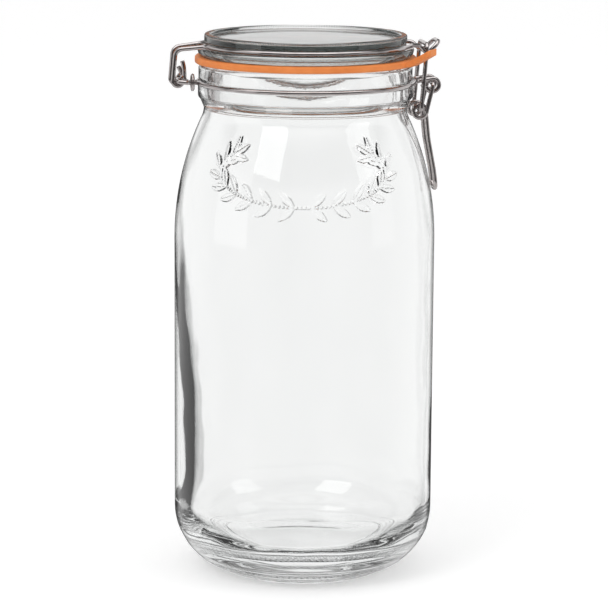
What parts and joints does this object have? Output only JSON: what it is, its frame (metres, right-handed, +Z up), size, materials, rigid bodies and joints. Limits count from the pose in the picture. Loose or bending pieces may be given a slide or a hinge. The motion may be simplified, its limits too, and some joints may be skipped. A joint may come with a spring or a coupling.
{
  "type": "canning jar",
  "caption": "Tall clear glass canning jar with a hinged glass lid, an orange rubber seal and a wire bail that a lever latch pulls shut.",
  "frame": {"origin": "on the jar's axis, in the plane of the foot that it stands on", "axes": "+Z up along the jar's axis, +X towards the latch, -X towards the hinge, -Y towards the viewer of the picture"},
  "size_m": [0.1433, 0.138, 0.2865],
  "materials": {
    "clear_glass": "clear, polished by fire",
    "orange_rubber": "matt, moulded",
    "steel_wire": "drawn stainless wire, bright"
  },
  "bodies": {
    "root": {"glass_jar": "clear_glass", "neck_wire_front": "steel_wire", "neck_wire_rear": "steel_wire", "hinge_collar": "steel_wire"},
    "lid": {"glass_lid": "clear_glass", "rubber_seal": "orange_rubber", "lid_bail": "steel_wire"},
    "lever": {"latch_lever": "steel_wire"},
    "link": {"latch_link": "steel_wire"}
  },
  "joints": [
    {"name": "lid_hinge", "type": "hinge", "parent": "root", "child": "lid", "pos_m": [-0.0681, 0, 0.2628], "axis": [0, -1, 0], "range_deg": [0, 125]},
    {"name": "lever_pivot", "type": "hinge", "parent": "root", "child": "lever", "pos_m": [0.0669, 0, 0.2604], "axis": [0, -1, 0], "range_deg": [0, 120]},
    {"name": "link_pivot", "type": "hinge", "parent": "lever", "child": "link", "pos_m": [0.06, 0, 0.24665], "axis": [0, -1, 0], "range_deg": [-72, 0]}
  ],
  "couplings": [
    {"joint": "link_pivot", "follows": "lever_pivot", "ratio": -0.6}
  ]
}
